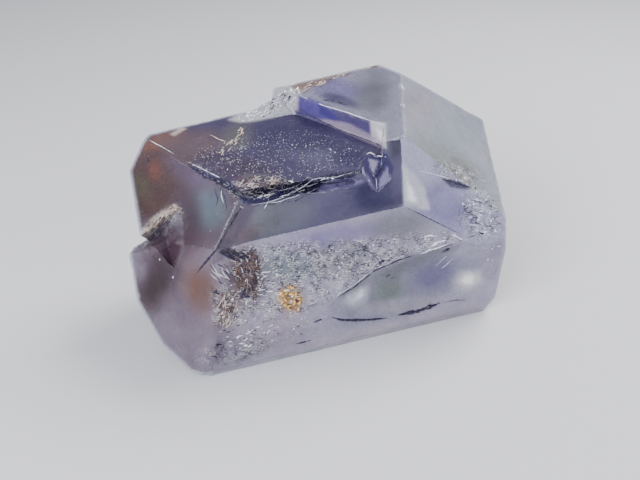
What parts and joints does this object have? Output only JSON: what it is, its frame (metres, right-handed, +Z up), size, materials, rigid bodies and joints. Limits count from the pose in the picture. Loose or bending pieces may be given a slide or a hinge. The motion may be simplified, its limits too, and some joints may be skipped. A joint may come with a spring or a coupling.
{
  "type": "rough fluorite crystal",
  "caption": "Cleaved and broken see-through crystal with flat facets, a stepped terrace, a notched end and shell-shaped fractures, resting on a flat face.",
  "frame": {"origin": "centre of the bounding box's bottom, on the resting face", "axes": "+Z up, +X along the longest extent to the viewer's right, -Y towards the viewer"},
  "size_m": [0.023, 0.017, 0.0144],
  "materials": {
    "fluorite": "clear to milky pale violet, glossy cleavage faces"
  },
  "bodies": {
    "root": {"fluorite_crystal": "fluorite"}
  },
  "joints": []
}
